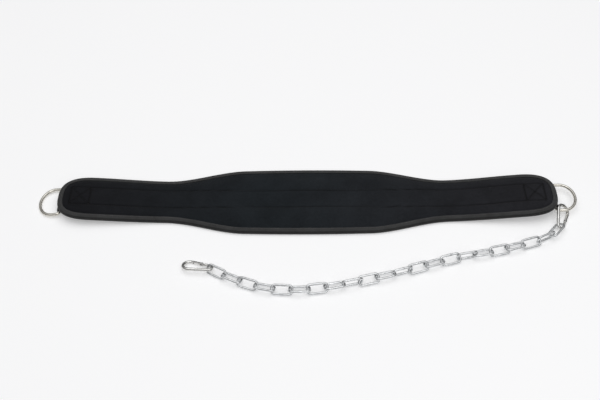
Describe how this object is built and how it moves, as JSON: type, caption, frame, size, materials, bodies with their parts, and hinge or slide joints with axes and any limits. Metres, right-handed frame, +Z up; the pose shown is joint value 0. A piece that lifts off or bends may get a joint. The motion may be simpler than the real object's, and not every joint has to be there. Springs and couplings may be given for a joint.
{
  "type": "dip belt",
  "caption": "Padded dip belt lying open, lining up, with a D-ring at each end and a welded chain with snap hooks, hooked to one ring and laid out in front.",
  "frame": {"origin": "On the table under the middle of the padded belt, in the flat underside of its strap", "axes": "+X along the belt to the end that carries the chain, +Y away from the chain, +Z up"},
  "size_m": [0.8575, 0.2592, 0.0263],
  "materials": {
    "lining": "brushed soft lining",
    "binding_tape": "ribbed tape",
    "webbing": "woven webbing",
    "ring_steel": "nickel plated wire",
    "chain_zinc": "bright zinc",
    "hook_zinc": "bright zinc"
  },
  "bodies": {
    "belt": {"pad": "lining", "edge_binding": "binding_tape", "strap_webbing": "webbing", "d_ring_right": "ring_steel", "waist_hook_body": "hook_zinc", "chain_link_01": "chain_zinc", "chain_link_02": "chain_zinc", "chain_link_03": "chain_zinc", "chain_link_04": "chain_zinc", "chain_link_05": "chain_zinc", "chain_link_06": "chain_zinc", "chain_link_07": "chain_zinc", "chain_link_08": "chain_zinc", "chain_link_09": "chain_zinc", "chain_link_10": "chain_zinc", "chain_link_11": "chain_zinc", "chain_link_12": "chain_zinc", "chain_link_13": "chain_zinc", "chain_link_14": "chain_zinc", "chain_link_15": "chain_zinc", "chain_link_16": "chain_zinc", "chain_link_17": "chain_zinc", "chain_link_18": "chain_zinc", "chain_link_19": "chain_zinc", "chain_link_20": "chain_zinc", "chain_link_21": "chain_zinc", "chain_link_22": "chain_zinc", "end_hook_body": "hook_zinc"},
    "left_ring": {"d_ring_left": "ring_steel"},
    "waist_gate": {"waist_hook_gate": "hook_zinc"},
    "end_gate": {"end_hook_gate": "hook_zinc"}
  },
  "joints": [
    {"name": "left_ring_swing", "type": "hinge", "parent": "belt", "child": "left_ring", "pos_m": [-0.392, 0, 0.00598], "axis": [0, 1, 0], "range_deg": [-165, 80]},
    {"name": "waist_hook_gate_hinge", "type": "hinge", "parent": "belt", "child": "waist_gate", "pos_m": [0.40353, -0.04636, 0.00301], "axis": [0.5649, -0.2515, 0.7859], "range_deg": [0, 35], "stiffness_Nm_per_rad": 0.004, "springref_deg": -28.65},
    {"name": "end_hook_gate_hinge", "type": "hinge", "parent": "belt", "child": "end_gate", "pos_m": [-0.15955, -0.13075, 0.00436], "axis": [0.005, 0.2933, 0.956], "range_deg": [0, 35], "stiffness_Nm_per_rad": 0.004, "springref_deg": -28.65}
  ]
}
